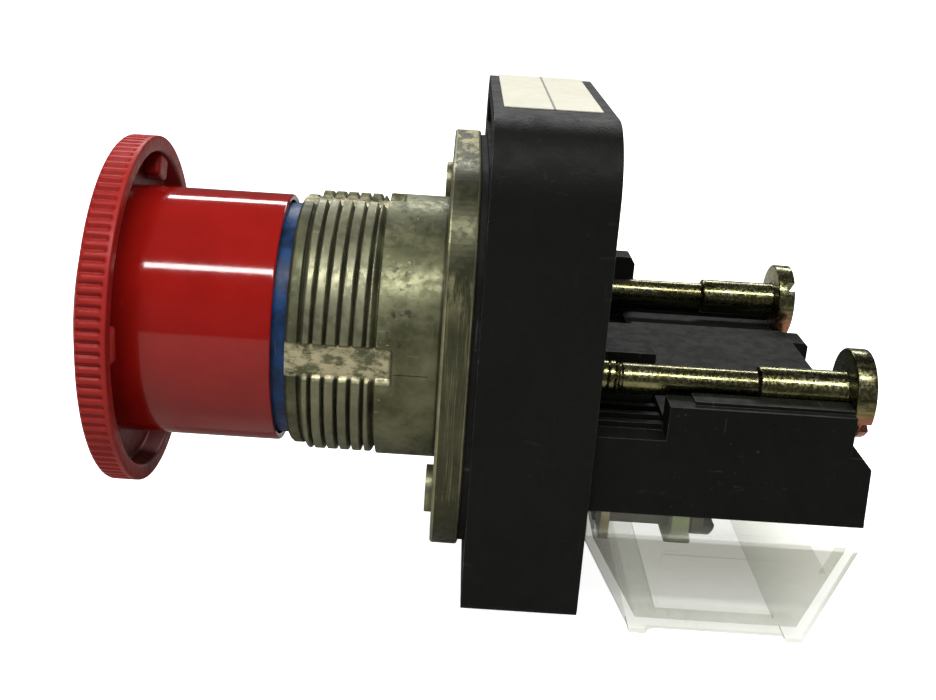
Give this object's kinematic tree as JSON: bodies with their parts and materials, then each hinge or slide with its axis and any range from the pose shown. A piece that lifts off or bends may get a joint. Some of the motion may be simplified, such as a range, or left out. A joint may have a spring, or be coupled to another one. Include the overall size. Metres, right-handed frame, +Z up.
{
  "type": "emergency stop button",
  "caption": "Panel-mounted push-button with a red mushroom head, threaded metal barrel with square flange, moulded base and a rear contact block with a clear terminal guard.",
  "frame": {"origin": "on the button's axis, in the plane of the flange's front face that seats behind the panel", "axes": "+Y along the push direction, into the panel and towards the contact block, so the red head faces -Y; +Z up, towards the label"},
  "size_m": [0.0462, 0.0846, 0.0533],
  "materials": {
    "red_head": "satin",
    "red_skirt": "gloss",
    "blue_sleeve": "satin",
    "zinc": "satin",
    "steel": "satin",
    "black_plastic": "satin",
    "rubber": "matte",
    "brass": "satin",
    "label": "matte",
    "chromate": "gloss",
    "clear_plastic": "gloss"
  },
  "bodies": {
    "housing": {"release_spring": "steel", "cam_follower": "blue_sleeve", "guide_sleeve": "blue_sleeve", "wiper_seal": "rubber", "threaded_bushing": "zinc", "ball_cage": "black_plastic", "detent_balls": "steel", "garter_spring": "steel", "flange_screws": "zinc", "flange_gasket": "rubber", "base_housing": "black_plastic", "base_inserts": "brass", "rating_label": "label", "contact_block_housing": "black_plastic", "contact_block_cover": "black_plastic", "nc_return_spring": "steel", "no_return_spring": "steel", "terminal_guard": "clear_plastic", "nc_inner_terminal_plate": "brass", "nc_inner_terminal_screw": "steel", "nc_inner_saddle_clamp": "chromate", "nc_outer_terminal_plate": "brass", "nc_outer_terminal_screw": "steel", "nc_outer_saddle_clamp": "chromate", "no_inner_terminal_plate": "brass", "no_inner_terminal_screw": "steel", "no_inner_saddle_clamp": "chromate", "no_outer_terminal_plate": "brass", "no_outer_terminal_screw": "steel", "no_outer_saddle_clamp": "chromate"},
    "carriage": {"operating_shaft": "steel", "cap_screw": "steel", "spring_seat": "steel", "detent_collar": "steel", "actuator_plate": "black_plastic"},
    "head": {"mushroom_cap": "red_head", "cap_disc": "red_head", "button_skirt": "red_skirt", "twist_cam": "blue_sleeve", "twist_spring": "steel"},
    "nc_moving": {"nc_plunger": "black_plastic", "nc_bridge": "brass"},
    "no_moving": {"no_plunger": "black_plastic", "no_bridge": "brass"},
    "near_screw": {"near_captive_screw": "chromate"},
    "far_screw": {"far_captive_screw": "chromate"}
  },
  "joints": [
    {"name": "push_pull", "type": "slide", "parent": "housing", "child": "carriage", "axis": [0, -1, 0], "range_m": [0, 0.005], "deforming": ["release_spring"]},
    {"name": "twist_release", "type": "hinge", "parent": "carriage", "child": "head", "pos_m": [0, -0.034, 0], "axis": [0, 1, 0], "range_deg": [0, 45], "stiffness_Nm_per_rad": 0.02},
    {"name": "nc_slide", "type": "slide", "parent": "housing", "child": "nc_moving", "axis": [0, -1, 0], "range_m": [0, 0.005], "deforming": ["nc_return_spring"]},
    {"name": "no_slide", "type": "slide", "parent": "housing", "child": "no_moving", "axis": [0, -1, 0], "range_m": [0, 0.005], "deforming": ["no_return_spring"]},
    {"name": "near_screw_turn", "type": "hinge", "parent": "housing", "child": "near_screw", "pos_m": [0.0163, 0.03, 0.00107], "axis": [0, 1, 0], "continuous": true},
    {"name": "far_screw_turn", "type": "hinge", "parent": "housing", "child": "far_screw", "pos_m": [-0.0163, 0.03, 0.00107], "axis": [0, 1, 0], "continuous": true}
  ],
  "couplings": [
    {"joint": "nc_slide", "follows": "push_pull", "ratio": 1},
    {"joint": "no_slide", "follows": "push_pull", "ratio": 1}
  ]
}
